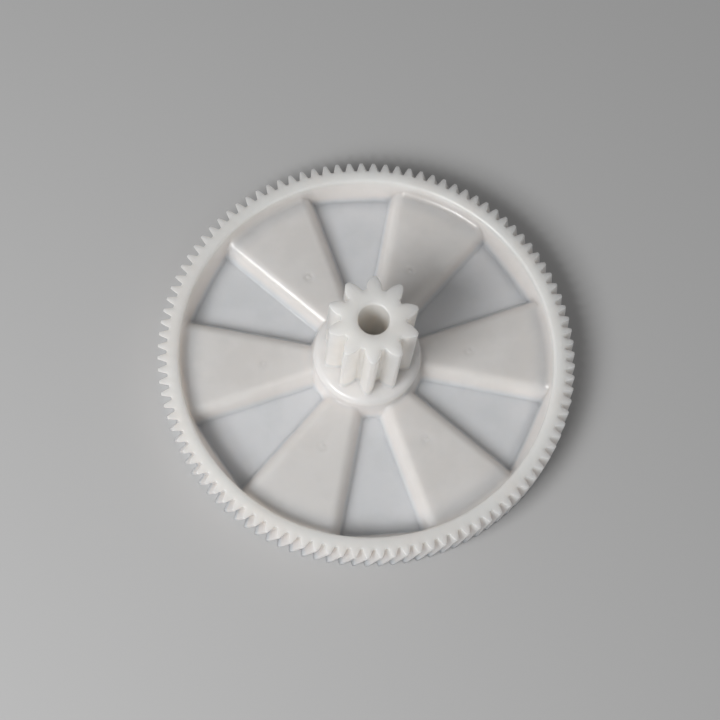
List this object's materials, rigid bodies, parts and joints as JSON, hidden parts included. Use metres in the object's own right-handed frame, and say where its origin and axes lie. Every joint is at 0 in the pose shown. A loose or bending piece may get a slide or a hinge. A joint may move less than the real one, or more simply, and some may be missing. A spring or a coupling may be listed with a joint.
{
  "type": "meat grinder gear",
  "caption": "Helical ring gear with a web of raised and recessed sectors, a straight-toothed pinion on the same axis and a plain through bore.",
  "frame": {"origin": "centre of the gear's axis in the plane of the ring's underside, on which the gear lies", "axes": "+Z along the axis from the ring towards the pinion's free end; +X through the middle of a raised sector of the web; +Y completes a right-handed frame"},
  "size_m": [0.11, 0.11, 0.035],
  "materials": {
    "acetal": "white injection-moulded acetal, satin to soft gloss, very slightly translucent"
  },
  "bodies": {
    "root": {"gear": "acetal"}
  },
  "joints": []
}
